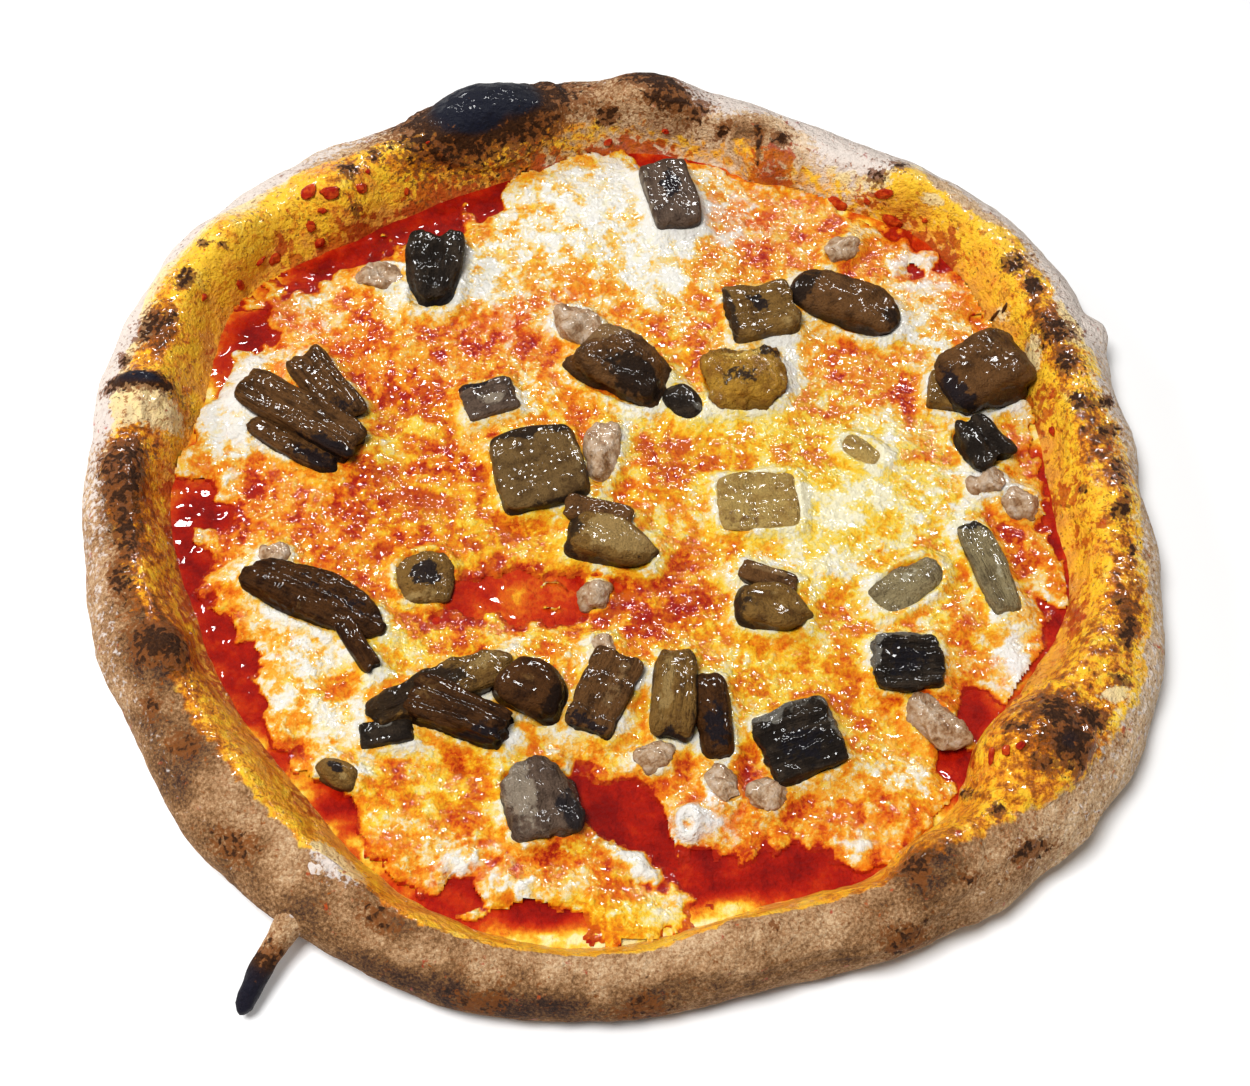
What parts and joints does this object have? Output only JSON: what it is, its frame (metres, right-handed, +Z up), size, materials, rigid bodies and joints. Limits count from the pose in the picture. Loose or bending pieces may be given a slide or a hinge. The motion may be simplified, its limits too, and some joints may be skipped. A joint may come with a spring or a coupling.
{
  "type": "porcini pizza",
  "caption": "Round baked pizza with a puffed, blistered rim and a thin dough tail, topped with tomato sauce, melted mozzarella, porcini slices and sausage crumbs.",
  "frame": {"origin": "middle of the flat underside, on the surface that the pizza rests on", "axes": "+Z up; +Y is the back of the pizza, the side with the large burnt blister; +X is its right"},
  "size_m": [0.3203, 0.3211, 0.0312],
  "materials": {
    "baked_crust": "floury baked dough, yellow with oil inside, toasted and charred in spots",
    "tomato_sauce": "wet smooth tomato sauce with oil",
    "melted_mozzarella": "melted cheese mottled white, yellow and orange, wet with oil",
    "black_porcini": "wet blackened mushroom",
    "grey_porcini": "wet grey mushroom",
    "dark_porcini": "wet dark brown fibrous mushroom",
    "brown_porcini": "wet brown mushroom",
    "olive_porcini": "wet olive brown mushroom",
    "pale_porcini": "translucent pale mushroom sunk in cheese",
    "golden_porcini": "roasted golden brown mushroom",
    "sausage_meat": "cooked grey pink sausage crumb, greasy"
  },
  "bodies": {
    "root": {"crust": "baked_crust", "tomato_sauce": "tomato_sauce", "melted_cheese": "melted_mozzarella", "porcini_black_wedge": "black_porcini", "porcini_grey_block": "grey_porcini", "porcini_notched_block": "olive_porcini", "porcini_glossy_leaf": "brown_porcini", "porcini_gilled_curl": "brown_porcini", "porcini_roasted_lump": "golden_porcini", "porcini_dark_bead": "black_porcini", "porcini_grey_chip": "grey_porcini", "porcini_square_slab": "olive_porcini", "porcini_left_strip": "brown_porcini", "porcini_left_under_strip": "brown_porcini", "porcini_left_back_strip": "brown_porcini", "porcini_middle_stem": "olive_porcini", "porcini_middle_cap": "brown_porcini", "porcini_right_stem": "olive_porcini", "porcini_right_cap": "brown_porcini", "porcini_long_slice": "dark_porcini", "porcini_hanging_stem": "dark_porcini", "porcini_sunken_roundel": "olive_porcini", "porcini_fibrous_strip": "dark_porcini", "porcini_olive_strip": "olive_porcini", "porcini_chocolate_slice": "dark_porcini", "porcini_dark_end": "black_porcini", "porcini_oblong_slab": "brown_porcini", "porcini_cut_stem": "olive_porcini", "porcini_shaded_stem": "dark_porcini", "porcini_black_cube": "black_porcini", "porcini_black_square": "black_porcini", "porcini_rim_cap": "brown_porcini", "porcini_rim_chip": "olive_porcini", "porcini_black_triangle": "black_porcini", "porcini_right_sliver": "olive_porcini", "porcini_sunken_olive": "olive_porcini", "porcini_pale_slab": "pale_porcini", "porcini_grey_peak": "grey_porcini", "porcini_front_eye": "olive_porcini", "porcini_pale_sliver": "pale_porcini", "sausage_crumb_1": "sausage_meat", "sausage_crumb_2": "sausage_meat", "sausage_crumb_3": "sausage_meat", "sausage_crumb_4": "sausage_meat", "sausage_crumb_5": "sausage_meat", "sausage_crumb_6": "sausage_meat", "sausage_crumb_7": "sausage_meat", "sausage_crumb_8": "sausage_meat", "sausage_crumb_9": "sausage_meat", "sausage_crumb_10": "sausage_meat", "sausage_crumb_11": "sausage_meat", "sausage_crumb_12": "sausage_meat", "sausage_crumb_13": "sausage_meat"}
  },
  "joints": []
}
